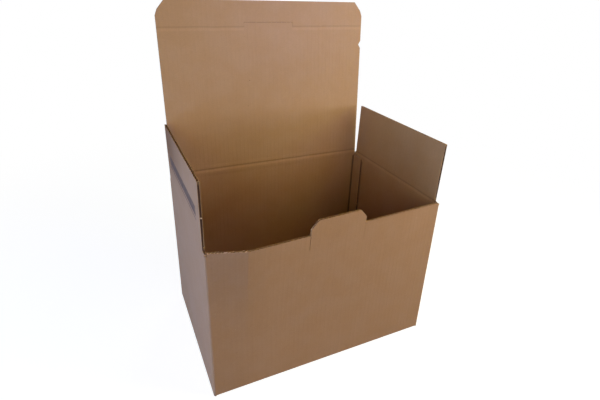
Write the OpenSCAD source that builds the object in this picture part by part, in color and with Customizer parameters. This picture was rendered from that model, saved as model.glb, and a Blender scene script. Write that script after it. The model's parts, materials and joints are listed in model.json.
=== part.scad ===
/* [Box] */
// Outside width of the four walls, left to right
box_w = 400; // [320:1:520]
// Outside depth of the four walls, front to rear
box_d = 270; // [220:1:360]
// Height of the front wall's cut top edge
box_h = 270; // [200:1:340]
// How far the lid's crease stands above the front wall's edge
lid_rise = 1.2; // [0.6:0.1:3]
// Free height between a folded dust flap and the shut lid
stack_gap = 0.4; // [0.3:0.1:1]

/* [Board] */
// Thickness of the corrugated board
board_t = 3.6; // [3.2:0.1:4.2]
// Thickness of each flat liner paper
liner_t = 0.4; // [0.3:0.05:0.5]
// Thickness of the wavy fluting paper
medium_t = 0.35; // [0.25:0.05:0.45]
// Distance from one flute to the next
flute_pitch = 7.9; // [6.5:0.1:9]
// Length beside a crease where the flutes are pressed shut
crush_len = 6; // [4:0.5:12]
// Free height between the two pressed halves of a crease
crease_gap = 0.3; // [0.2:0.05:0.5]
// Depth of the flutes that the front wall's cut edge lays open
pocket_depth = 4; // [1:0.5:10]

/* [Lid] */
// Lid from its crease to the tuck flap's crease
lid_len = 259; // [200:1:260]
// Free width on each side between the lid and the walls' inner faces
lid_side_gap = 1; // [0.6:0.1:3]
// How far the open lid leans back from upright
lid_lean = 4.2; // [0:0.1:10]
// Height of the torn notch's middle above the lid's crease
notch_at = 222; // [120:1:240]
// Height of the notch at the lid's right edge
notch_h = 15; // [8:0.5:20]
// Depth of the notch
notch_depth = 4.5; // [2:0.5:6]

/* [Tuck flap] */
// Tuck flap from its crease to its free edge
tuck_len = 41; // [30:1:41]
// Width that each cut corner takes from the tuck flap
tuck_corner_w = 17; // [8:1:30]
// Height that each cut corner takes from the tuck flap
tuck_corner_h = 25; // [10:1:28]
// Width of the slit that takes the lock tab
slit_w = 93; // [75:1:110]
// Distance of the slit from the crease, on the tuck flap's side
slit_offset = 5.4; // [5:0.1:8]
// Width of the cut that makes the slit
slit_cut = 0.5; // [0.4:0.1:0.5]

/* [Dust flaps] */
// Dust flap from its crease to its free edge
dust_len = 104; // [70:1:110]
// Distance of a dust flap's front edge from the front wall's outer face
dust_front_inset = 10.2; // [10.2:0.1:20]
// Distance of a dust flap's rear edge from the rear wall's outer face
dust_rear_inset = 8; // [5:0.1:20]
// How far the open left dust flap leans out from upright
left_lean = 0.5; // [0:0.1:6]
// How far the open right dust flap leans out from upright
right_lean = 1.2; // [0:0.1:6]

/* [Front wall] */
// Greatest distance that the front wall's edge is pushed out
bulge = 17; // [0:0.5:24]
// Distance of the sharp bend from the left corner, along the edge
bend_from_left = 56; // [40:1:120]
// Distance from the right corner at which the bulge has died out
bulge_from_right = 20; // [5:1:80]
// Height at which the bulge starts
bulge_from_z = 80; // [40:1:150]
// How fast the bulge grows with height, 1 for a straight slope
bulge_power = 1.4; // [1:0.1:2]
// Width of the lock tab between its slits
tab_w = 96; // [60:1:96]
// Height of the lock tab above the front wall's edge
tab_h = 24; // [12:0.5:24]
// Width that each cut corner takes from the lock tab
tab_corner_w = 11.5; // [6:0.5:20]
// Height that each cut corner takes from the lock tab
tab_corner_h = 13.5; // [6:0.5:20]
// Depth of the slit on each side of the lock tab
tab_slit_h = 26; // [10:1:40]
// Width of the slit on the left of the lock tab, which stands open
tab_slit_left_w = 0.9; // [0.6:0.1:1.5]
// Width of the slit on the right of the lock tab, which is nearly shut
tab_slit_right_w = 0.3; // [0.2:0.1:1.5]

/* [Glue lap] */
// Width of the glue lap on the right wall
lap_w = 29; // [20:1:40]
// Distance of the glue lap's top from the side walls' top
lap_drop = 3; // [2:0.5:12]
// Height of the sloped cut at the glue lap's top
lap_slope_h = 5; // [2:0.5:15]

/* [Bottom] */
// Reach of the inner bottom flaps from the side walls
inner_flap_len = 128; // [80:1:150]
// Distance that each inner bottom flap narrows by on each side
inner_flap_taper = 22; // [5:1:40]
// Distance of the outer flaps' meeting line behind the middle
seam_behind = 28; // [10:1:60]
// Width of the front bottom flap's tongue at its root
tongue_w = 160; // [100:1:200]
// Length of the front bottom flap's tongue
tongue_len = 24; // [10:1:40]
// Width that the tongue loses at each side
tongue_taper = 18; // [5:1:30]
// Free width between bottom flaps that meet
seam_gap = 1; // [0.6:0.1:2]

/* [Hidden] */
$fn = 64;

kraft = [0.66, 0.51, 0.37];
kraft_inside = [0.60, 0.45, 0.31];

half_t = board_t / 2;
inner_w = box_w - 2 * board_t;
inner_d = box_d - 2 * board_t;
front_y = -box_d / 2;
rear_y = box_d / 2;
past = 1;

// Crease lines, each in the middle of the board's thickness
lid_axis_y = rear_y - half_t;
lid_axis_z = box_h + lid_rise;
dust_axis_x = box_w / 2 - half_t;
dust_axis_z = lid_axis_z - board_t - stack_gap;
rear_top = lid_axis_z - half_t - crease_gap;
side_top = dust_axis_z - half_t - crease_gap;

lid_w = inner_w - 2 * lid_side_gap;
lid_end = lid_len - half_t - crease_gap;
dust_knuckle_front = front_y + board_t / 3;
dust_knuckle_rear = rear_y - board_t - crease_gap;
dust_front = front_y + dust_front_inset;
dust_root_front = front_y + board_t + crease_gap;
dust_rear = rear_y - dust_rear_inset;
root_clear = 0.2;
dust_root_h = dust_axis_x - lid_w / 2 - root_clear;
side_bottom = 0.6;
floor_top = 2 * board_t;
bend_x = -inner_w / 2 + bend_from_left - board_t;
bulge_end_x = box_w / 2 - bulge_from_right;
wall_top = box_h + tab_h;

// The fluting paper's wave: its half height, and the offset of its faces from its middle
wave_a = (board_t - 2 * liner_t - medium_t) / 2;
function wave_y(u) = wave_a * cos(360 * u / flute_pitch);
function wave_slope(u) = wave_a * 2 * PI / flute_pitch * sin(360 * u / flute_pitch);
function wave_face(u) = wave_y(u) + medium_t / 2 * sqrt(1 + pow(wave_slope(u), 2));

// One open channel between the fluting paper and a liner, from crest to crest
channel_steps = 6;
channel_from = 0.12;
function channel_points() = concat(
    [[channel_from * flute_pitch, half_t - liner_t], [(1 - channel_from) * flute_pitch, half_t - liner_t]],
    [for (k = [channel_steps:-1:0])
        let (u = flute_pitch * (channel_from + (1 - 2 * channel_from) * k / channel_steps))
        [u, wave_face(u)]]);

// Channels on both sides of the fluting paper, over a length that is cut back to the board's outline
module flute_channels(length) {
    count = ceil(length / flute_pitch / 2);
    for (i = [-count:count - 1]) {
        translate([i * flute_pitch, 0]) polygon(channel_points());
        translate([(i + 0.5) * flute_pitch, 0]) mirror([0, 1]) polygon(channel_points());
    }
}

// A strip of board from a crease up, with a round pressed edge at its foot, along X and centred on it
module creased_root(length) {
    rotate([90, 0, 90]) linear_extrude(length, center = true) circle(r = half_t);
}

// The profile of a wall with a round pressed edge at its top, from z0 up to z1
module creased_wall_profile(z0, z1) {
    translate([-half_t, z0]) square([board_t, z1 - z0 - half_t]);
    translate([0, z1 - half_t]) circle(r = half_t);
}

module lid() {
    color(kraft_inside) translate([0, lid_axis_y, lid_axis_z]) rotate([-lid_lean, 0, 0]) {
        difference() {
            union() {
                rotate([90, 0, 90]) linear_extrude(lid_w, center = true) {
                    circle(r = half_t);
                    translate([-half_t, 0]) square([board_t, lid_end - half_t]);
                    translate([0, lid_end - half_t]) circle(r = half_t);
                }
                // The tongue that stands past the crease, between the slit's short side cuts
                translate([-slit_w / 2, -half_t, lid_end - board_t])
                    cube([slit_w, board_t, lid_len + slit_offset - slit_cut - lid_end + board_t]);
            }
            translate([lid_w / 2, 0, notch_at]) rotate([90, 0, 0])
                linear_extrude(board_t + 2 * past, center = true)
                    polygon([[past, notch_h / 2 + past], [-notch_depth, 0], [past, -notch_h / 2 - past]]);
            for (side = [-1, 1]) edge_groove(side * lid_w / 2, crush_len, lid_end - crush_len);
        }
    }
}

// The flute that a cut along it lays open at a panel's side edge
module edge_groove(x, z0, z1) {
    groove = 0.3 * flute_pitch;
    translate([x, 0, z0]) linear_extrude(z1 - z0) intersection() {
        translate([-groove, 0]) square([2 * groove, board_t]);
        translate([-flute_pitch / 2, 0]) polygon(channel_points());
    }
}

module tuck_outline() {
    w = lid_w / 2;
    polygon([[-w, 0], [-w, tuck_len - tuck_corner_h], [-w + tuck_corner_w * 0.22, tuck_len - tuck_corner_h * 0.62],
        [-w + tuck_corner_w, tuck_len], [w - tuck_corner_w, tuck_len],
        [w - tuck_corner_w * 0.22, tuck_len - tuck_corner_h * 0.62], [w, tuck_len - tuck_corner_h], [w, 0]]);
}

module tuck_flap() {
    slit_half = slit_w / 2 + slit_cut / 2;
    color(kraft_inside) translate([0, lid_axis_y, lid_axis_z]) rotate([-lid_lean, 0, 0]) translate([0, 0, lid_len])
        difference() {
            union() {
                rotate([90, 0, 0]) linear_extrude(board_t, center = true) tuck_outline();
                creased_root(lid_w);
            }
            // Room for the lid's tongue: the slit
            translate([-slit_half, -half_t - past, -board_t])
                cube([2 * slit_half, board_t + 2 * past, board_t + slit_offset]);
            translate([0, 0, slit_offset + crush_len]) linear_extrude(tuck_len) flute_channels(lid_w);
        }
}

module dust_outline() {
    polygon([[dust_root_front, 0], [dust_front, dust_root_h], [dust_front, dust_len],
        [dust_rear, dust_len], [dust_rear, 0]]);
}

// A dust flap, upright, its thickness along X, its crease along Y through the origin
module dust_flap() {
    difference() {
        union() {
            rotate([90, 0, 90]) linear_extrude(board_t, center = true) dust_outline();
            translate([0, dust_knuckle_rear, 0]) rotate([90, 0, 0])
                linear_extrude(dust_knuckle_rear - dust_knuckle_front) circle(r = half_t);
        }
        translate([0, (dust_front + dust_rear) / 2, crush_len]) rotate([0, 0, 90])
            linear_extrude(dust_len) flute_channels(dust_rear - dust_front);
    }
}

module left_dust_flap() {
    color(kraft) translate([-dust_axis_x, 0, dust_axis_z]) rotate([0, -left_lean, 0]) dust_flap();
}

module right_dust_flap() {
    color(kraft_inside) translate([dust_axis_x, 0, dust_axis_z]) rotate([0, right_lean, 0]) dust_flap();
}

// How far the front wall stands out at a place along it and at a height
function bulge_along(x) = max(0, min((x + inner_w / 2) / (bend_x + inner_w / 2), (bulge_end_x - x) / (bulge_end_x - bend_x)));
function bulge_up(z) = z <= bulge_from_z ? 0 : pow((z - bulge_from_z) / (box_h - bulge_from_z), bulge_power);
function bulge_out(x, z) = bulge * bulge_along(x) * bulge_up(z);

// The upper front wall as a skin of even thickness over a grid of columns and rows
bend_half = 4;
edge_clear = 0.3;
skin_x = concat(
    [-inner_w / 2, (-inner_w / 2 + bend_x) / 2, bend_x - bend_half, bend_x, bend_x + bend_half],
    [for (k = [1:9]) bend_x + bend_half + (bulge_end_x - bend_x - bend_half) * k / 9],
    [inner_w / 2]);
skin_rows = 7;
skin_z = concat([for (k = [0:skin_rows]) bulge_from_z + (box_h - bulge_from_z) * k / skin_rows], [wall_top]);

module front_skin() {
    nx = len(skin_x);
    nz = len(skin_z);
    function at(i, j, s) = (j * nx + i) * 2 + s;
    points = [for (z = skin_z) for (x = skin_x) for (s = [0, 1])
        [x, front_y + s * board_t - bulge_out(x, z), z]];
    faces = concat(
        [for (j = [0:nz - 2]) for (i = [0:nx - 2]) for (f = [
            [at(i, j, 0), at(i, j + 1, 0), at(i + 1, j + 1, 0)],
            [at(i, j, 0), at(i + 1, j + 1, 0), at(i + 1, j, 0)],
            [at(i, j, 1), at(i + 1, j + 1, 1), at(i, j + 1, 1)],
            [at(i, j, 1), at(i + 1, j, 1), at(i + 1, j + 1, 1)]]) f],
        [for (i = [0:nx - 2]) for (f = [
            [at(i, 0, 0), at(i + 1, 0, 0), at(i + 1, 0, 1), at(i, 0, 1)],
            [at(i, nz - 1, 0), at(i, nz - 1, 1), at(i + 1, nz - 1, 1), at(i + 1, nz - 1, 0)]]) f],
        [for (j = [0:nz - 2]) for (f = [
            [at(0, j, 0), at(0, j, 1), at(0, j + 1, 1), at(0, j + 1, 0)],
            [at(nx - 1, j, 0), at(nx - 1, j + 1, 0), at(nx - 1, j + 1, 1), at(nx - 1, j, 1)]]) f]);
    polyhedron(points, faces);
}

// Height of the front wall's cut edge over a flute, on the lock tab's top and on its cut corners
function edge_height(x) = abs(x) > tab_w / 2 ? box_h
    : min(wall_top, wall_top - (abs(x) - tab_w / 2 + tab_corner_w) * tab_corner_h / tab_corner_w);

// Where the skin's middle stands at a place and height, straight between the two rows of its grid around the edge
row_below = bulge_from_z + (box_h - bulge_from_z) * (skin_rows - 1) / skin_rows;
function skin_out(x, z, low, high) = bulge_out(x, low) + (bulge_out(x, high) - bulge_out(x, low)) * (z - low) / (high - low);

// One flute laid open by the cut, on the outer (side 1) or inner (side -1) face of the fluting paper
module edge_pocket(u0, side) {
    middle = u0 + flute_pitch / 2;
    on_tab = abs(middle) < tab_w / 2;
    low = on_tab ? box_h : row_below;
    high = on_tab ? wall_top : box_h;
    top = min(edge_height(u0), edge_height(u0 + flute_pitch));
    shape = channel_points();
    n = len(shape);
    points = [for (z = [top - pocket_depth, top + (on_tab ? tab_corner_h : past)]) for (p = shape)
        [u0 + p[0], front_y + half_t - side * p[1] - skin_out(u0 + p[0], z, low, high), z]];
    // The two faces of the fluting paper mirror each other, and so do the turns of their polygons
    turn = side < 0 ? [for (k = [0:n - 1]) k] : [for (k = [n - 1:-1:0]) k];
    polyhedron(points, concat(
        [[for (k = [n - 1:-1:0]) turn[k]], [for (k = [0:n - 1]) turn[k] + n]],
        [for (k = [0:n - 1]) let (a = turn[k], b = turn[(k + 1) % n]) each [[a, b, b + n], [a, b + n, a + n]]]));
}

// A flute is left whole where a slit, the sharp bend or the end of the edge would cut it
function flute_is_whole(u0, zone) = u0 > zone[0] + edge_clear && u0 + flute_pitch < zone[1] - edge_clear;

module edge_pockets() {
    outer_end = inner_w / 2 - crease_gap;
    slit_left = -tab_w / 2 - tab_slit_left_w;
    slit_right = tab_w / 2 + tab_slit_right_w;
    zones = [[-outer_end, bend_x], [bend_x, slit_left], [-tab_w / 2, tab_w / 2], [slit_right, outer_end]];
    count = ceil(inner_w / flute_pitch / 2);
    for (zone = zones) for (i = [-count:count]) for (side = [-1, 1]) {
        u0 = (i + (side > 0 ? 0 : 0.5)) * flute_pitch;
        if (flute_is_whole(u0, zone)) edge_pocket(u0, side);
    }
}

// What is cut away from the front wall's edge, seen from the front: all but the wall and its lock tab
module front_edge_waste() {
    high = wall_top + past;
    end_x = inner_w / 2 - crease_gap;
    for (side = [-1, 1]) {
        slit_x = tab_w / 2 + (side < 0 ? tab_slit_left_w : tab_slit_right_w);
        scale([side, 1]) polygon([
            [box_w / 2, high], [box_w / 2, side_top], [end_x, side_top], [end_x, box_h], [slit_x, box_h],
            [slit_x, box_h - tab_slit_h], [tab_w / 2, box_h - tab_slit_h], [tab_w / 2, wall_top - tab_corner_h],
            [tab_w / 2 - tab_corner_w, wall_top], [tab_w / 2 - tab_corner_w, high]]);
    }
}

module front_wall() {
    translate([-inner_w / 2, front_y, board_t]) cube([inner_w, board_t, bulge_from_z - board_t]);
    difference() {
        front_skin();
        translate([0, front_y + board_t + past, 0]) rotate([90, 0, 0])
            linear_extrude(bulge * 1.5 + board_t + 2 * past) front_edge_waste();
        edge_pockets();
    }
}

module rear_wall() {
    translate([0, lid_axis_y, 0]) rotate([90, 0, 90])
        linear_extrude(inner_w, center = true) creased_wall_profile(board_t, rear_top);
}

module side_wall(side) {
    end_y = side > 0 ? rear_y - 0.5 : rear_y - board_t;
    translate([side * dust_axis_x, end_y, 0]) rotate([90, 0, 0])
        linear_extrude(end_y - front_y - board_t) {
            creased_wall_profile(side_bottom + half_t, side_top);
            translate([0, side_bottom + half_t]) circle(r = half_t);
        }
}

// A folded upright corner, round outside, its centre on the corner's inner edge
module wall_corner(x, y, height) {
    sx = sign(x);
    sy = sign(y);
    translate([x, y, side_bottom]) linear_extrude(height - side_bottom) intersection() {
        circle(r = board_t);
        scale([sx, sy]) square(board_t);
    }
}

module glue_lap() {
    y1 = rear_y - board_t;
    y0 = y1 - lap_w;
    top = side_top - lap_drop;
    translate([inner_w / 2 - board_t, 0, 0]) rotate([90, 0, 90]) linear_extrude(board_t)
        polygon([[y0, floor_top], [y1, floor_top], [y1, top], [y0 + board_t, top], [y0, top - lap_slope_h]]);
}

// The fold from a front or rear wall into its outer bottom flap
module bottom_fold(side) {
    translate([0, side * (box_d / 2 - board_t), board_t]) rotate([90, 0, 90])
        linear_extrude(inner_w, center = true) intersection() {
            circle(r = board_t);
            translate([side > 0 ? 0 : -board_t, -board_t]) square(board_t);
        }
}

// The front bottom flap's outline with its tongue, grown by a margin at its meeting line
module front_flap_outline(margin) {
    y = seam_behind + margin;
    polygon([[-box_w, front_y + board_t], [-box_w, y], [-tongue_w / 2 - margin, y],
        [-tongue_w / 2 + tongue_taper - margin, y + tongue_len], [tongue_w / 2 - tongue_taper + margin, y + tongue_len],
        [tongue_w / 2 + margin, y], [box_w, y], [box_w, front_y + board_t]]);
}

module outer_bottom_flaps() {
    linear_extrude(board_t) intersection() {
        square([inner_w - 2 * seam_gap, inner_d], center = true);
        union() {
            front_flap_outline(0);
            difference() {
                square([box_w, box_d], center = true);
                front_flap_outline(seam_gap);
            }
        }
    }
}

module inner_bottom_flap(side) {
    x1 = inner_w / 2;
    x0 = x1 - inner_flap_len;
    y1 = inner_d / 2 - seam_gap;
    y0 = y1 - inner_flap_taper;
    translate([0, 0, board_t]) linear_extrude(board_t) scale([side, 1])
        polygon([[x1, -y1], [x1, y1], [x0, y0], [x0, -y0]]);
}

module box_body() {
    color(kraft) {
        front_wall();
        rear_wall();
        side_wall(-1);
        side_wall(1);
        wall_corner(-inner_w / 2, -inner_d / 2, side_top);
        wall_corner(inner_w / 2, -inner_d / 2, side_top);
        wall_corner(-inner_w / 2, inner_d / 2, side_top);
        wall_corner(inner_w / 2 - board_t, inner_d / 2, side_top);
        glue_lap();
        bottom_fold(-1);
        bottom_fold(1);
        outer_bottom_flaps();
        inner_bottom_flap(-1);
        inner_bottom_flap(1);
    }
}

box_body();
lid();
tuck_flap();
left_dust_flap();
right_dust_flap();
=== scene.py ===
"""Looks for an open corrugated board mailer box: kraft liner, pressed creases, cut edges and a plain studio."""

import json
import math
import random

import bmesh
import bpy
from mathutils import Matrix, Vector, noise


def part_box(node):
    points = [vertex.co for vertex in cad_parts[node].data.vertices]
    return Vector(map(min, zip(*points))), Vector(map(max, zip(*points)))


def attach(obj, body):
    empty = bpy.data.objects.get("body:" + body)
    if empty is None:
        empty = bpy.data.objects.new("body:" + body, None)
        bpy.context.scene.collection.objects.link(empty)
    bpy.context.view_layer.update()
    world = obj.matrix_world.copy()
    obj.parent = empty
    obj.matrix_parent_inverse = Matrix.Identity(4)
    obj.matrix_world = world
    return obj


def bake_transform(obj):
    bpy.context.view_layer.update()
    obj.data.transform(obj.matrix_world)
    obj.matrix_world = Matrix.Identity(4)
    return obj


bl_info = {
    "name": "Corrugated mailer box",
    "version": (1, 0, 0),
    "blender": (4, 5, 0),
    "location": "View3D > Sidebar > Mailer",
    "description": "Dresses the packed mailer box as folded kraft board and sets up its studio",
    "category": "Object",
}

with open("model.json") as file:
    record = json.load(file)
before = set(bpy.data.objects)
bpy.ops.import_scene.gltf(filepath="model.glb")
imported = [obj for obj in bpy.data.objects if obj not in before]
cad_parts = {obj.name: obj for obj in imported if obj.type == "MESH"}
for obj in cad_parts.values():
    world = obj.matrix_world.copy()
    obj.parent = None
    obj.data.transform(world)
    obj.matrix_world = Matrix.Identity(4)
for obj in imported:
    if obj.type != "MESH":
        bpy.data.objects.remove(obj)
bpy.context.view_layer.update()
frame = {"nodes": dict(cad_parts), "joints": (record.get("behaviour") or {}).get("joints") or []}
JOINTS = {joint["name"]: joint for joint in frame["joints"]}
MM = 0.001
UP, REAR, LEFT, RIGHT = Vector((0, 0, 1)), Vector((0, 1, 0)), Vector((-1, 0, 0)), Vector((1, 0, 0))
FOLD_MARK = "fold_distance"

# The board's folds, from the joints' own axes, and how far each panel leans out in degrees
LID_AXIS = Vector(JOINTS["lid_hinge"]["pos_m"])
TUCK_AXIS = Vector(JOINTS["tuck_hinge"]["pos_m"])
LEFT_AXIS = Vector(JOINTS["left_flap_hinge"]["pos_m"])
RIGHT_AXIS = Vector(JOINTS["right_flap_hinge"]["pos_m"])
LID_LEAN, LEFT_LEAN, RIGHT_LEAN = 4.2, 0.5, 1.2

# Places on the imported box, in metres
HALF_WIDTH, HALF_DEPTH, WALL_TOP = 0.2, 0.135, 0.27
HALF_LID, HALF_SLIT = 0.1954, 0.0468
FLAP_FRONT, FLAP_REAR = -0.1246, 0.1268
FLAP_FOLD = (-0.1312, 0.1308)
LAP_CORNER = (0.1928, 0.1314)
# The gap at the glue lap's edge, across and along the right wall, where shade is painted, and its painted shadow
# along the wall
LAP_GAP_X, LAP_GAP_Y, LAP_SHADOW_Y = (0.1942, 0.1967), (0.1, 0.104), (0.0985, 0.1028)
# The lower and upper edges of the printed stripes, and half their length
WIDE_STRIPE, THIN_STRIPE, HALF_STRIPE = (0.3085, 0.3245), (0.3025, 0.3048), 0.1
# The front wall's free edge runs out by BEND_OUT between its left corner and its bend
CORNER_X, BEND_RUN, BEND_OUT = -0.1964, 0.0524, 0.017


def colour_property(name, description, default):
    return bpy.props.FloatVectorProperty(
        name=name, description=description, subtype="COLOR", size=3, min=0, max=1, default=default
    )


def length_property(name, description, default):
    return bpy.props.FloatProperty(name=name, description=description, unit="LENGTH", min=0, default=default)


class BoardSettings(bpy.types.PropertyGroup):
    thickness: length_property("Thickness", "Thickness of the corrugated board", 3.6 * MM)
    pitch: length_property("Flute pitch", "Distance from one flute to the next", 7.9 * MM)
    liner: colour_property("Liner", "Colour of the brown kraft liner", (0.408, 0.24, 0.125))
    liner_cool: colour_property("Liner, cool", "The liner's paler and greyer patches", (0.416, 0.253, 0.142))
    outer: colour_property(
        "Outer liner", "How much the outer liner's colour differs from the inner one's", (0.94, 0.88, 0.85)
    )
    torn: colour_property("Torn paper", "Colour of the liner's inside where it is torn", (0.70, 0.55, 0.43))
    cut: colour_property("Cut edge", "Colour of the paper where the board is cut", (0.43, 0.28, 0.165))
    core: colour_property("Core", "Colour of the fluting paper inside the board", (0.24, 0.145, 0.078))
    # The colour of painted shade deep in open flutes and gaps
    hollow_shade: colour_property("Open flute", "Colour deep in the flutes that a cut lays open", (0.042, 0.017, 0.009))
    ink: colour_property("Ink", "Colour of the printed stripes on the left flap", (0.115, 0.068, 0.05))


class CreaseSettings(bpy.types.PropertyGroup):
    lip: length_property("Lip", "Height of the paper's lips on both sides of a crease's groove", 0.38 * MM)
    reach: length_property("Reach", "How far the creased paper goes from the fold", 12 * MM)


class StudioSettings(bpy.types.PropertyGroup):
    lens: bpy.props.FloatProperty(
        name="Lens", description="Focal length of the camera", unit="CAMERA", min=1, default=25.43
    )
    floor: colour_property("Floor", "Colour of the plain floor", (0.35, 0.35, 0.35))
    glow: bpy.props.FloatProperty(
        name="Floor glow", description="How much paler the floor looks", min=0, default=0.86
    )


class Value:
    """A socket of a finish, so that shader maths can be written as Python."""

    def __init__(self, finish, socket):
        self.finish = finish
        self.socket = socket

    def _maths(self, operation, a, b=0.0):
        return self.finish.node("ShaderNodeMath", {"operation": operation}, {0: a, 1: b})

    def __add__(self, other):
        return self._maths("ADD", self, other)

    def __radd__(self, other):
        return self._maths("ADD", other, self)

    def __sub__(self, other):
        return self._maths("SUBTRACT", self, other)

    def __rsub__(self, other):
        return self._maths("SUBTRACT", other, self)

    def __mul__(self, other):
        return self._maths("MULTIPLY", self, other)

    def __rmul__(self, other):
        return self._maths("MULTIPLY", other, self)

    def __gt__(self, other):
        return self._maths("GREATER_THAN", self, other)

    def __lt__(self, other):
        return self._maths("LESS_THAN", self, other)

    def __abs__(self):
        return self._maths("ABSOLUTE", self)

    def sine(self):
        return self._maths("SINE", self)

    def rise(self, low, high):
        """0 below low and 1 above high, with a smooth slope between."""
        inputs = {0: self, 1: low, 2: high, 3: 0.0, 4: 1.0}
        return self.finish.node("ShaderNodeMapRange", {"interpolation_type": "SMOOTHSTEP"}, inputs)

    def between(self, low, high, soft):
        return self.rise(low - soft, low + soft) * (1 - self.rise(high - soft, high + soft))

    def parts(self):
        """The X, Y and Z of a vector."""
        split = self.finish.node("ShaderNodeSeparateXYZ", {}, {0: self}).socket.node
        return [Value(self.finish, output) for output in split.outputs]


class Finish:
    """The nodes of one material, or of the world, and the ways they are added."""

    def __init__(self, owner):
        owner.use_nodes = True
        self.owner = owner
        self.tree = owner.node_tree
        self.tree.nodes.clear()

    def node(self, kind, settings, inputs, output=0):
        node = self.tree.nodes.new(kind)
        for key, value in settings.items():
            setattr(node, key, value)
        for key, value in inputs.items():
            if isinstance(value, Value):
                self.tree.links.new(value.socket, node.inputs[key])
            else:
                node.inputs[key].default_value = value
        return Value(self, node.outputs[output])

    def coordinates(self):
        return self.node("ShaderNodeTexCoord", {}, {}, "Object")

    def vector_maths(self, operation, a, b, output=0):
        return self.node("ShaderNodeVectorMath", {"operation": operation}, {0: a, 1: b}, output)

    def product(self, a, b):
        """Two vectors or colours multiplied part by part."""
        return self.vector_maths("MULTIPLY", a, b)

    def distance(self, a, b):
        return self.vector_maths("DISTANCE", a, b, "Value")

    def noise(self, vector, scale, detail=2.0, rough=0.5):
        inputs = {"Vector": vector, "Scale": scale, "Detail": detail, "Roughness": rough}
        return self.node("ShaderNodeTexNoise", {"noise_dimensions": "3D"}, inputs)

    def cells(self, vector, scale, output):
        return self.node("ShaderNodeTexVoronoi", {"feature": "F1"}, {"Vector": vector, "Scale": scale}, output)

    def mix(self, share, a, b):
        a, b = [v if isinstance(v, Value) else (*v, 1.0) for v in (a, b)]
        settings = {"data_type": "RGBA", "blend_type": "MIX", "clamp_factor": True}
        return self.node("ShaderNodeMix", settings, {0: share, 6: a, 7: b}, 2)

    def mix_shader(self, share, a, b):
        return self.node("ShaderNodeMixShader", {}, {0: share, 1: a, 2: b})

    def scaled(self, colour, factor):
        return self.node("ShaderNodeVectorMath", {"operation": "SCALE"}, {0: colour, "Scale": factor})

    def close(self, shader, kind="ShaderNodeOutputMaterial"):
        output = self.tree.nodes.new(kind)
        self.tree.links.new(shader.socket, output.inputs[0])


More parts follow.
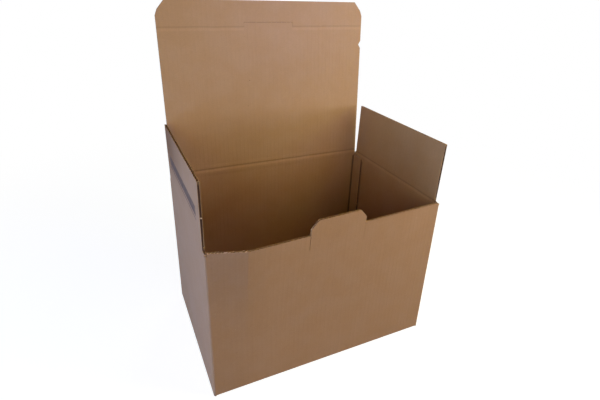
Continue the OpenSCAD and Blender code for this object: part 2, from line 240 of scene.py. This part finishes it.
class Kraft(Finish):
    """The finish of one piece of kraft board, built up layer by layer."""

    # Fine fibres: size of their cells, thickness, how rare they are, and colour
    FIBRES = ((260.0, 0.16, 0.93, (0.10, 0.055, 0.03)), (210.0, 0.15, 0.95, (0.60, 0.44, 0.29)))
    SPECK = (0.09, 0.05, 0.03)

    def __init__(self, name, tone, torn):
        super().__init__(bpy.data.materials.new(name))
        self.board = board = bpy.context.scene.mailer_board
        self.tone = tone
        self.torn = torn
        self.place = place = self.coordinates()
        self.x, self.y, self.z = place.parts()
        self.nx, self.ny, self.nz = self.node("ShaderNodeTexCoord", {}, {}, "Normal").parts()
        self.cloud = self.noise(place, 120.0, 3.0, 0.6)
        self.fibre = self.noise(self.product(place, (260.0, 260.0, 1150.0)), 1.0, 4.0, 0.7)
        self.fuzz = self.noise(place, 1500.0)
        self.hollow_shade = self.scaled(tuple(board.hollow_shade), 0.5 + self.fuzz)
        mottle = self.noise(place, 28.0, 3.0)
        streak = self.noise(self.product(place, (310.0, 310.0, 9.0)), 1.0)
        hair = self.noise(self.product(place, (620.0, 620.0, 3600.0)), 1.0, 2.0, 0.6)
        wave = self.washboard()
        main = board.torn if torn else board.liner
        self.liner = self.mix(mottle.rise(0.3, 0.72), tuple(main), tuple(board.liner_cool))
        coarse = 0.03 * (mottle - 0.5) + 0.07 * (self.cloud - 0.5)
        fine = 0.24 * (self.fibre - 0.5) + 0.22 * (hair - 0.5)
        self.shade = tone * (1 + coarse + fine) + 0.07 * (streak - 0.5) + 0.010 * wave
        self.roughness = 0.80 + 0.12 * (self.cloud - 0.5) + 0.10 * (self.fibre - 0.5)
        self.height = 0.2 * wave + 0.30 * self.fibre + 0.22 * hair + 0.35 * self.cloud

    def washboard(self):
        """Faint waves of the flutes under the liner, stronger in some places than in others."""
        sideways = abs(self.nx) > 0.7
        along = self.x * (1 - sideways) + self.y * sideways
        strength = self.noise(self.place, 14.0).rise(0.3, 0.75)
        wobble = self.noise(self.product(self.place, (30.0, 30.0, 4.0)), 1.0) * (0.9 * MM)
        turns = (along + wobble) * (2 * math.pi / self.board.pitch)
        return (turns.sine() + 0.7 * (turns * 2).sine()) * (0.3 + 0.7 * strength)

    def crease(self, folds):
        """Painted shade in the groove and painted highlights on its lips, from how far each point of the mesh is
        from its fold in mm.
        """
        fold = self.node("ShaderNodeAttribute", {"attribute_name": FOLD_MARK}, {}, "Fac")
        broken = self.noise(self.product(self.place, (120.0, 120.0, 500.0)), 1.0, 3.0, 0.7)
        groove = fold.between(0.9, 3.1, 0.8) * (0.13 + 0.19 * broken)
        lip_highlight = fold.between(-4.4, -0.4, 1.2) * (0.05 + 0.15 * broken)
        self.shade = self.shade * (1 - folds * groove) * (1 + folds * lip_highlight)
        self.height = self.height + 0.8 * broken * fold.between(-4.0, 4.0, 1.0)

    def painted_lap_fold_shade(self):
        """Painted shade along the glue lap's fold in the rear right corner."""
        gap = self.distance(self.product(self.place, (1.0, 1.0, 0.0)), (*LAP_CORNER, 0.0))
        self.shade = self.shade * (1 - 0.6 * (1 - gap.rise(1.2 * MM, 4.2 * MM)))

    def coloured(self):
        """The liner's colour, which differs on the box's outer faces, with its shade, fibres and hairs."""
        y, ny = self.y, self.ny
        wall = HALF_DEPTH - 0.5 * MM
        outside = (abs(self.x) > HALF_WIDTH - 0.5 * MM) + (y < -wall) * (ny < -0.3) + (y > wall) * (ny > 0.5)
        outer = self.product(self.liner, tuple(self.board.outer))
        self.colour = self.scaled(self.mix(outside, self.liner, outer), self.shade)
        grain = self.product(self.place, (1.0, 1.0, 2.2))
        for scale, limit, rare, tint in self.FIBRES:
            near = 1 - self.cells(grain, scale, "Distance").rise(limit * 0.5, limit)
            chosen = self.cells(grain, scale, "Color").parts()[0] > rare
            self.colour = self.mix(near * chosen * 0.55, self.colour, tint)

    def speck(self, spot, size):
        near = 1 - self.distance(self.place, spot).rise(size * 0.4, size)
        self.colour = self.mix(near * 0.6, self.colour, self.SPECK)

    def painted_flap_shade(self):
        """Painted shade: the left flap's outer face goes darker and browner towards its rear corner."""
        share = self.y.rise(-0.07, 0.15) * self.z.rise(0.27, 0.34) * (self.nx < -0.5)
        self.colour = self.product(self.colour, self.mix(share, (1.0, 1.0, 1.0), (0.55, 0.46, 0.38)))

    def printed(self):
        """Two plain printed stripes across the left flap's outer face, worn thin in places."""
        height = self.z + (self.fibre - 0.5) * (1.2 * MM)
        wide = height.between(*WIDE_STRIPE, 0.25 * MM)
        thin = height.between(*THIN_STRIPE, 0.2 * MM)
        inside = self.y.between(-HALF_STRIPE, HALF_STRIPE, 0.25 * MM)
        cover = (wide + thin) * inside * (self.nx < -0.5) * (0.62 + 0.3 * self.cloud.rise(0.3, 0.6))
        self.colour = self.mix(cover, self.colour, tuple(self.board.ink))

    def cut_edges(self, face, axis):
        """The liners' pale, fuzzy section where the board is cut, which is darker near the fold."""
        if face is None:
            edge = (abs(self.nz) > 0.8) * (self.z > 0.2)
        elif face == "z":
            edge = 1.0
        else:
            edge = abs({"x": self.nx, "y": self.ny}[face]) < 0.55
        cut = self.mix(self.fuzz.rise(0.3, 0.7), tuple(self.board.core), tuple(self.board.cut))
        cut = self.scaled(cut, self.tone)
        if axis is not None:
            edge = edge * self.above(axis)
            # Painted light on the cut: darker near the fold as painted shade, and paler on the dust flaps' top
            # faces as a painted highlight
            light = 0.5 + 0.5 * self.z.rise(axis.z + 4 * MM, axis.z + 40 * MM)
            if face == "x":
                light = light + 1.1 * (self.nz > 0.8)
            cut = self.scaled(cut, light)
        self.colour = self.mix(edge * (0.15 if self.torn else 0.75), self.colour, cut)
        self.height = self.height + edge * self.fuzz * 0.8

    def above(self, axis):
        """1 over the fold's own round edge."""
        return self.z.rise(axis.z + 2.0 * MM, axis.z + 2.6 * MM)

    def open_flutes(self, face, axis, out, top):
        """Painted shade in the open flutes between the liners of a cut edge."""
        z = self.z
        deep = self.vector_maths("DOT_PRODUCT", self.vector_maths("SUBTRACT", self.place, axis), out, "Value")
        # Near the fold the inner liner is pressed over the open flute, and on top the fluting paper's edge shows
        pressed = (1 - z.rise(axis.z + 6 * MM, axis.z + 45 * MM)) * (0.45 * MM)
        flute = 1 - (abs(deep - pressed) + pressed).rise(1.25 * MM, 1.45 * MM)
        if top is not None:
            flute = flute * (1 - 0.35 * z.rise(top - 7 * MM, top - 1 * MM))
        self.colour = self.mix(flute * self.above(axis) * (1 - 0.9 * (self.nz > 0.8)), self.colour, self.hollow_shade)
        if face == "x":
            # Painted shade on the crushed ends of a dust flap's fold, in front of and behind the flap
            past = (self.y < FLAP_FRONT - 0.4 * MM) + (self.y > FLAP_REAR + 0.4 * MM)
            root_shade = past * (deep < 1.3 * MM) * (z > axis.z + 1.4 * MM) * (z < axis.z + 14 * MM)
            self.colour = self.mix(root_shade * 0.8, self.colour, self.hollow_shade)

    def painted_wall_shade(self):
        """Painted shade on the rounded front left corner and the front wall beside it, and in the gap at the glue
        lap's edge, with its painted shadow along the wall.
        """
        x, y, nx, ny = self.x, self.y, self.nx, self.ny
        corner_shade = (0 - nx).rise(0.4, 0.7) * (0 - ny).rise(0.2, 0.5)
        in_front = (ny < -0.5) * (y < 5 * MM - HALF_DEPTH)
        strip_shade = (1 - x.rise(-0.19, -0.085)) * in_front * (0.08 + 0.10 * self.z.rise(0.12, 0.24))
        self.colour = self.scaled(self.colour, 1 - 0.14 * corner_shade - strip_shade)
        ragged = (self.noise(self.product(self.place, (1.0, 1.0, 90.0)), 1.0) - 0.5) * (2.2 * MM)
        gap = (x - ragged * 0.3).between(*LAP_GAP_X, 0.3 * MM) * y.between(*LAP_GAP_Y, 0.2 * MM) * (ny < -0.6)
        shadow = (y + ragged).between(*LAP_SHADOW_Y, 0.5 * MM) * (x > 0.1955) * (nx < -0.6)
        self.colour = self.mix(gap * 0.85 + shadow * 0.35, self.colour, self.hollow_shade)

    def finished(self):
        bump = {"Strength": 0.6, "Distance": 0.24 * MM, "Height": self.height}
        shader = {
            "Base Color": self.colour,
            "Roughness": self.roughness,
            "Normal": self.node("ShaderNodeBump", {}, bump),
            "Specular IOR Level": 0.32,
        }
        self.close(self.node("ShaderNodeBsdfPrincipled", {}, shader))
        return self.owner


def kraft(
    name, face, middle=None, top=None, tone=1.0, stripes=False, folds=0.0, walls=False, torn=False, specks=()
):
    """Kraft board. face is the axis that the panels' faces look along, z where the paper is raw all over, or None
    where walls of both kinds meet.
    middle is a point on the fold and a normal of the plane halfway through the board, between its two liners.
    top is the height of the cut edge on which the flutes end.
    folds is how strongly a crease's painted shade and highlights show, in a mesh that says how far each point is
    from the fold's groove.
    torn paper is paler, as it shows the liner's inside."""
    paper = Kraft(name, tone, torn)
    axis, out = middle or (None, None)
    if folds:
        paper.crease(folds)
    if walls:
        paper.painted_lap_fold_shade()
    paper.coloured()
    for spot, size in specks:
        paper.speck(spot, size)
    if stripes:
        paper.painted_flap_shade()
        paper.printed()
    paper.cut_edges(face, axis)
    if middle:
        paper.open_flutes(face, axis, out, top)
    if walls:
        paper.painted_wall_shade()
    return paper.finished()


def eased(share):
    """0 below 0 and 1 above 1, with a smooth slope between."""
    share = min(1.0, max(0.0, share))
    return share * share * (3 - 2 * share)


def crease_band(name, axis, along, parent, child, span, reach, groove, lip, crown=None, seed=0):
    """The liner over one fold, as a closed band round the board.
    parent and child are (up, out) pairs of directions on the two sides of the fold.
    span is the fold's two ends along its axis, and reach how far the band goes from the fold.
    On the inner face, lips as high as lip stand on both sides of a soft groove, at the height groove over the fold.
    crown(s) is how high the band may stand above the axis at a place along the fold."""
    half = bpy.context.scene.mailer_board.thickness / 2
    start, end = span
    rows, stations = 40, max(8, int(abs(end - start) / (2.5 * MM)))
    skin, rim, lip_end, hair = 0.06 * MM, 1.2 * MM, 6 * MM, 0.04 * MM
    heights = [-reach + 2 * reach * k / rows for k in range(rows + 1)]
    rings, marks = [], []
    # The end faces stand a hair outside a ring of their own, so that they don't bend the light beside them
    inner = end - start - 2 * hair
    places = [start, *(start + hair + inner * i / stations for i in range(stations + 1)), end]
    for s in places:
        top = reach if crown is None else crown(s)
        ripple = noise.noise(Vector((s * 90, seed, 0.3)))
        waver = 0.5 * MM * noise.noise(Vector((s * 35, seed, 7.3)))
        from_end = min(1.0, min(s - start, end - s) / lip_end)
        ring = []
        for side in (1, -1):
            for h in heights if side > 0 else heights[::-1]:
                h = min(h, top)
                ends = min(1.0, (h + reach) / rim, max(0.0, top - h) / rim)
                fade = eased(min(h + reach, reach - h) / lip_end)
                from_groove = (h - groove - waver) / MM
                if side < 0:
                    out_of_groove = 1 - math.exp(-((from_groove / 2.6) ** 2))
                    raised = lip * (1 + 0.35 * ripple) * out_of_groove * fade * from_end
                else:
                    raised = -0.12 * MM * math.exp(-(((h / MM + 1.9) / 0.8) ** 2))
                t = half - skin + 0.1 * MM * ends + raised
                if crown is not None and top < reach:
                    t = min(t, math.sqrt(max((half + skin) ** 2 - max(h, 0.0) ** 2, 1e-9)))
                turn = eased((h + 2 * MM) / (4 * MM))
                up = parent[0].lerp(child[0], turn).normalized()
                out = parent[1].lerp(child[1], turn).normalized()
                ring.append(axis + along * s + up * h + out * (side * t))
                marks.append(from_groove if side < 0 else 90.0)
        rings.append(ring)
    band = ribbed_mesh(name, rings)
    mark = band.data.attributes.new(FOLD_MARK, "FLOAT", "POINT")
    mark.data.foreach_set("value", marks)
    return band


def ribbed_mesh(name, rings):
    """A closed mesh through rings of points, with its two ends shut by flat faces."""
    shape = bmesh.new()
    rows = [[shape.verts.new(p) for p in ring] for ring in rings]
    for a, b in zip(rows, rows[1:]):
        for k in range(len(a)):
            n = (k + 1) % len(a)
            shape.faces.new((a[k], a[n], b[n], b[k]))
    ends = [shape.faces.new(rows[0][::-1]), shape.faces.new(rows[-1])]
    return finished_mesh(name, shape, flat=ends)


def finished_mesh(name, shape, smooth=True, flat=()):
    bmesh.ops.recalc_face_normals(shape, faces=shape.faces)
    for face in shape.faces:
        face.smooth = smooth and face not in flat
    mesh = bpy.data.meshes.new(name)
    shape.to_mesh(mesh)
    shape.free()
    piece = bpy.data.objects.new(name, mesh)
    bpy.context.scene.collection.objects.link(piece)
    return piece


def lean(angle_deg, up, out):
    """Directions along and out of a panel that leans by an angle towards its outer side."""
    a = math.radians(angle_deg)
    return up * math.cos(a) + out * math.sin(a), out * math.cos(a) - up * math.sin(a)


class MAILER_OT_board_finish(bpy.types.Operator):
    """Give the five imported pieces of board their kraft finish"""

    bl_idname = "mailer.board_finish"
    bl_label = "Board finish"

    def execute(self, context):
        nodes = frame["nodes"]
        lid_specks = [((-0.040, 0.1434, 0.4346), 1.1 * MM), ((-0.045, 0.1400, 0.3878), 1.0 * MM)]
        wall_specks = [((-0.064, -0.135, 0.124), 1.3 * MM)]
        lid_middle = (LID_AXIS, lean(LID_LEAN, UP, REAR)[1])
        left_middle = (LEFT_AXIS, lean(LEFT_LEAN, UP, LEFT)[1])
        right_middle = (RIGHT_AXIS, lean(RIGHT_LEAN, UP, RIGHT)[1])
        flap_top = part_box("left_dust_flap")[1].z
        finishes = {
            "box_body": kraft("Kraft walls", None, walls=True, specks=wall_specks),
            "lid": kraft("Kraft lid", "y", lid_middle, specks=lid_specks),
            "tuck_flap": kraft("Kraft tuck flap", "y", lid_middle),
            "left_dust_flap": kraft("Kraft left flap", "x", left_middle, flap_top, stripes=True),
            "right_dust_flap": kraft("Kraft right flap", "x", right_middle, flap_top),
        }
        for node, material in finishes.items():
            nodes[node].data.materials.clear()
            nodes[node].data.materials.append(material)
        return {"FINISHED"}


class MAILER_OT_creases(bpy.types.Operator):
    """Lay the liner over the folds of the lid, the tuck flap and the dust flaps"""

    bl_idname = "mailer.creases"
    bl_label = "Creases"

    def execute(self, context):
        crease = context.scene.mailer_crease
        reach, lip = crease.reach, crease.lip
        lid_dirs = lean(LID_LEAN, UP, REAR)
        up = lid_dirs[0]
        paper = kraft("Kraft lid crease", "y", folds=1.0)
        tuck_paper = kraft("Kraft tuck crease", "y", folds=0.6)
        ends = (-HALF_LID, HALF_LID)
        fold = crease_band("lid_crease", LID_AXIS, RIGHT, (UP, REAR), lid_dirs, ends, reach, 1.5 * MM, lip)
        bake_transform(fold)
        fold.data.materials.append(paper)
        for name, ends in (
            ("tuck_crease_left", (-HALF_LID, -HALF_SLIT)),
            ("tuck_crease_right", (HALF_SLIT, HALF_LID)),
        ):
            fold = crease_band(
                name, TUCK_AXIS, RIGHT, lid_dirs, lid_dirs, ends, reach, -4 * MM, lip * 0.25, seed=ends[0] * 40
            )
            TUCK_AXIS - up * 0.002
            TUCK_AXIS + up * 0.002
            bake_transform(fold)
            fold.data.materials.append(tuck_paper)
        for name, axis, out, angle, body in (
            ("left_flap_crease", LEFT_AXIS, LEFT, LEFT_LEAN, "left_flap"),
            ("right_flap_crease", RIGHT_AXIS, RIGHT, RIGHT_LEAN, "right_flap"),
        ):
            dirs = lean(angle, UP, out)
            fold = crease_band(
                name, axis, REAR, (UP, out), dirs, FLAP_FOLD, reach, 2 * MM, lip * 0.8, flap_crown, angle * 30
            )
            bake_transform(fold)
            fold.data.materials.append(kraft(f"Kraft {body} crease", "x", (axis, dirs[1]), folds=1.0))
        self.slit_liner(lid_dirs)
        return {"FINISHED"}

    def slit_liner(self, lid_dirs):
        """The crushed paper on top of the lid's tongue, which all but shuts the slit."""
        up, out = lid_dirs
        half_long, half_thick, foot, count = 46.2 * MM, 0.7 * MM, 4.7 * MM, 48
        rings = []
        for i in range(count):
            x = -half_long + 2 * half_long * i / (count - 1)
            high = (5.38 + 0.05 * noise.noise(Vector((x * 400, 0.0, 2.0)))) * MM
            side = high - 0.1 * MM
            points = [(-half_thick, foot), (half_thick, foot), (half_thick, side), (0.0, high), (-half_thick, side)]
            rings.append([TUCK_AXIS + RIGHT * x + up * h + out * t for t, h in points])
        liner = ribbed_mesh("slit_liner", rings)
        # Its paper is painted at half tone, as painted shade in the slit
        liner.data.materials.append(kraft("Kraft slit", "z", tone=0.5))
        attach(liner, "lid_panel")


class MAILER_OT_torn_paper(bpy.types.Operator):
    """Add the torn tag on the left flap's edge and the frayed liner on the front wall's edge"""

    bl_idname = "mailer.torn_paper"
    bl_label = "Torn paper"

    def execute(self, context):
        self.tag()
        self.frays()
        return {"FINISHED"}

    def tag(self):
        """Where the blank hung on its neighbour: a crushed bridge across the open flute."""
        knuckle_to_tag = 9.65 * MM
        middle = Vector((-0.1985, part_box("left_dust_flap")[0].y + knuckle_to_tag, 0.3190))
        wide, deep, half_high = 1.9 * MM, 1.0 * MM, 1.2 * MM
        layers, sides = 7, 18
        rings = []
        for i in range(layers):
            v = 2 * i / (layers - 1) - 1
            ring = []
            for k in range(sides):
                a = 2 * math.pi * k / sides
                rough = noise.noise(Vector((i * 0.9, math.cos(a) * 2, math.sin(a) * 2)))
                swell = (1 - 0.3 * v * v) * (1 + 0.25 * rough)
                high = half_high * v + 0.2 * MM * rough
                ring.append(middle + Vector((wide * math.cos(a) * swell, deep * math.sin(a) * swell, high)))
            rings.append(ring)
        tag = ribbed_mesh("torn_tag", rings)
        tag.data.materials.append(kraft("Kraft torn", "z", torn=True))
        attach(tag, "left_flap")

    def frays(self):
        """Small torn flakes of liner that stand on the front wall's cut edge beside the left corner."""
        seeded = random.Random(4)
        shape = bmesh.new()
        flakes, first_x, run = 22, -0.1955, 0.0515
        foot, thick = WALL_TOP - 0.1 * MM, 0.12 * MM
        for i in range(flakes):
            x = first_x + run * (i + seeded.random() * 0.8) / flakes
            outer = -HALF_DEPTH - BEND_OUT * (x - CORNER_X) / BEND_RUN
            y = outer + (0.3 if seeded.random() < 0.6 else 3.2) * MM
            wide, tall, tilt = (seeded.uniform(a, b) * MM for a, b in ((0.6, 2.0), (0.6, 1.7), (-0.2, 0.25)))
            profile = [(-wide, foot), (wide, foot), (wide * seeded.uniform(0.2, 0.9), foot + tall)]
            profile.append((-wide * seeded.uniform(0.0, 0.8), foot + tall * seeded.uniform(0.6, 1.1)))
            sides = []
            for deep in (0, thick):
                ring = [Vector((x + u, y + deep + (v - foot) / tall * abs(tilt), v)) for u, v in profile]
                sides.append([shape.verts.new(p) for p in ring])
            front, back = sides
            shape.faces.new(front)
            shape.faces.new(back[::-1])
            for k in range(4):
                n = (k + 1) % 4
                shape.faces.new((front[k], back[k], back[n], front[n]))
        frays = finished_mesh("frayed_liner", shape, smooth=False)
        frays.data.materials.append(kraft("Kraft frayed", "z", tone=1.3, torn=True))
        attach(frays, "box")


def flap_crown(s):
    """How high the fold's band stands at a place along a dust flap: low past the flap's ends."""
    reach = bpy.context.scene.mailer_crease.reach
    past = max(FLAP_FRONT - s, s - FLAP_REAR, 0.0)
    return max(1.6 * MM, reach - past * 12) if past else reach


class MAILER_OT_studio(bpy.types.Operator):
    """Make the pale floor, the soft lights and the camera at the photograph's angle"""

    bl_idname = "mailer.studio"
    bl_label = "Studio"

    def execute(self, context):
        scene = context.scene
        studio = scene.mailer_studio
        self.floor(scene, studio)
        self.world(scene)
        for name, place, size, power, colour in LAMPS:
            lamp = bpy.data.lights.new(name, "AREA")
            lamp.shape, lamp.size, lamp.energy, lamp.color = "DISK", size, power, colour
            self.stand(scene, name, lamp, Vector(place), LAMP_TARGET)
        for name, place, target, angle, power, colour in SPOTS:
            spot = bpy.data.lights.new(name, "SPOT")
            spot.spot_size, spot.spot_blend, spot.shadow_soft_size = math.radians(angle), 1.0, 0.1
            spot.energy, spot.color = power, colour
            self.stand(scene, name, spot, Vector(place), Vector(target))
        self.camera(scene, studio)
        scene.view_settings.view_transform = "Standard"
        return {"FINISHED"}

    def stand(self, scene, name, light, place, target):
        """A light at its place, turned towards its target."""
        stand = bpy.data.objects.new(name, light)
        stand.location = place
        stand.rotation_mode = "QUATERNION"
        stand.rotation_quaternion = (target - place).to_track_quat("-Z", "Y")
        scene.collection.objects.link(stand)

    def floor(self, scene, studio):
        """A pale floor that fades to white before its horizon."""
        shape = bmesh.new()
        bmesh.ops.create_grid(shape, x_segments=2, y_segments=2, size=FLOOR_SIZE)
        bmesh.ops.translate(shape, verts=shape.verts, vec=(0, 0, -0.2 * MM))
        mesh = bpy.data.meshes.new("floor")
        shape.to_mesh(mesh)
        shape.free()
        floor = bpy.data.objects.new("floor", mesh)
        scene.collection.objects.link(floor)
        finish = Finish(bpy.data.materials.new("Floor paint"))
        paint = {"Base Color": (*studio.floor, 1), "Roughness": 0.9, "Specular IOR Level": 0.1}
        paint = finish.node("ShaderNodeBsdfPrincipled", {}, paint)
        glow = finish.node("ShaderNodeEmission", {}, {"Color": (1, 1, 1, 1), "Strength": studio.glow})
        lit = finish.node("ShaderNodeAddShader", {}, {0: paint, 1: glow})
        white = finish.node("ShaderNodeEmission", {}, {"Color": (1, 1, 1, 1), "Strength": 1.0})
        place = finish.coordinates()
        lit = finish.mix_shader(finish.distance(place, (0, 0, 0)).rise(0.35, 1.3), lit, white)
        # No light reaches the floor under the box, which shows between the bottom flaps
        x, y, _ = place.parts()
        under = x.between(-0.195, 0.195, 2 * MM) * y.between(-0.13, 0.13, 2 * MM)
        lit = finish.mix_shader(under, lit, paint)
        seen = finish.node("ShaderNodeLightPath", {}, {}, "Is Camera Ray")
        finish.close(finish.mix_shader(seen, paint, lit))
        mesh.materials.append(finish.owner)

    def world(self, scene):
        """White to the camera, and nearly no light on the box."""
        scene.world = bpy.data.worlds.new("Studio")
        sky = Finish(scene.world)
        dim = sky.node("ShaderNodeBackground", {}, {"Color": (1, 1, 1, 1), "Strength": 0.004})
        white = sky.node("ShaderNodeBackground", {}, {"Color": (1, 1, 1, 1)})
        seen = sky.node("ShaderNodeLightPath", {}, {}, "Is Camera Ray")
        sky.close(sky.mix_shader(seen, dim, white), "ShaderNodeOutputWorld")

    def camera(self, scene, studio):
        data = bpy.data.cameras.new("Camera")
        data.sensor_width = 36
        data.lens = studio.lens
        data.shift_x, data.shift_y = CAMERA_SHIFT
        data.clip_end = 60
        camera = bpy.data.objects.new("Camera", data)
        right, down, ahead = (Vector(row) for row in CAMERA_TURN)
        turn = Matrix((right, -down, -ahead)).transposed()
        camera.matrix_world = Matrix.Translation(CAMERA_PLACE) @ turn.to_4x4()
        scene.collection.objects.link(camera)
        scene.camera = camera


FLOOR_SIZE = 12
CAMERA_PLACE = Vector((-0.2909, -0.60692, 0.59619))
# The camera's right, down and ahead
CAMERA_TURN = ((0.908234, -0.417245, 0.03189), (-0.146607, -0.388648, -0.909648), (0.39194, 0.821498, -0.414155))
CAMERA_SHIFT = (0.0022, -0.0355)
# Soft round lamps, all turned to one point: name, place, width, power and colour
LAMP_TARGET = Vector((0, 0, 0.25))
LAMPS = (
    ("left_low", (-2.0, 0.1, 0.4), 1.2, 16.40, (0.78, 1.00, 1.00)),
    ("left_high", (-1.8, -0.6, 1.0), 1.2, 3.40, (0.00, 0.06, 1.00)),
    ("front_left", (-1.2, -1.8, 0.8), 1.2, 10.60, (0.94, 1.00, 0.68)),
    ("front_near", (-0.6, -2.1, 0.9), 1.0, 2.20, (1.00, 0.00, 0.00)),
    ("front_low", (-0.6, -2.0, 0.3), 0.8, 5.40, (0.27, 0.52, 1.00)),
    ("lid_top", (0.45, -0.45, 0.85), 0.4, 2.00, (1.00, 0.76, 0.17)),
    ("lid_side", (0.9, -0.35, 0.75), 0.5, 4.16, (1.00, 0.99, 0.22)),
    ("left_near", (-1.2, 0.0, 0.25), 0.3, 3.58, (0.16, 0.33, 1.00)),
    ("lid_near", (0.5, -0.25, 0.7), 0.2, 0.60, (0.00, 0.17, 1.00)),
    ("lid_left", (-0.5, -0.6, 0.7), 0.3, 0.62, (1.00, 0.81, 0.00)),
    ("right_low", (1.2, -0.9, 0.42), 0.3, 8.40, (0.76, 0.80, 1.00)),
    ("lid_high", (0.3, -0.35, 1.05), 0.25, 0.60, (0.37, 0.10, 1.00)),
    ("corner_low", (-0.9, -0.4, 0.08), 0.3, 2.40, (0.33, 0.46, 1.00)),
    ("left_far", (-3.0, 0.3, 0.15), 0.25, 18.00, (0.11, 0.24, 1.00)),
    ("rear_fill", (1.4, 2.2, 0.45), 1.4, 28.00, (1.00, 0.96, 0.90)),
)
# A cool light on the lid's upper part and a warm one low on its right: name, place, target, angle, power and colour
SPOTS = (
    ("window", (0.1, -0.9, 0.95), (0.08, 0.15, 0.585), 24.0, 18.0, (0.13, 0.27, 1.00)),
    ("lid_warm", (0.1, -0.9, 0.95), (0.108, 0.136, 0.33), 9.5, 9.5, (1.00, 0.97, 0.60)),
)


class MAILER_PT_panel(bpy.types.Panel):
    bl_idname = "MAILER_PT_panel"
    bl_label = "Mailer box"
    bl_space_type = "VIEW_3D"
    bl_region_type = "UI"
    bl_category = "Mailer"

    def draw(self, context):
        for settings in (context.scene.mailer_board, context.scene.mailer_crease, context.scene.mailer_studio):
            column = self.layout.column()
            for name in settings.__annotations__:
                column.prop(settings, name)
        for operator in OPERATORS:
            self.layout.operator(operator.bl_idname)


SETTINGS = {"mailer_board": BoardSettings, "mailer_crease": CreaseSettings, "mailer_studio": StudioSettings}
OPERATORS = (MAILER_OT_board_finish, MAILER_OT_creases, MAILER_OT_torn_paper, MAILER_OT_studio)
CLASSES = (*SETTINGS.values(), *OPERATORS, MAILER_PT_panel)


def register():
    for cls in CLASSES:
        bpy.utils.register_class(cls)
    for name, cls in SETTINGS.items():
        setattr(bpy.types.Scene, name, bpy.props.PointerProperty(type=cls))


def unregister():
    for name in SETTINGS:
        delattr(bpy.types.Scene, name)
    for cls in reversed(CLASSES):
        bpy.utils.unregister_class(cls)


def main():
    register()
    bpy.ops.mailer.board_finish()
    bpy.ops.mailer.creases()
    bpy.ops.mailer.torn_paper()
    bpy.ops.mailer.studio()
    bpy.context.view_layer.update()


if __name__ == "__main__":
    main()
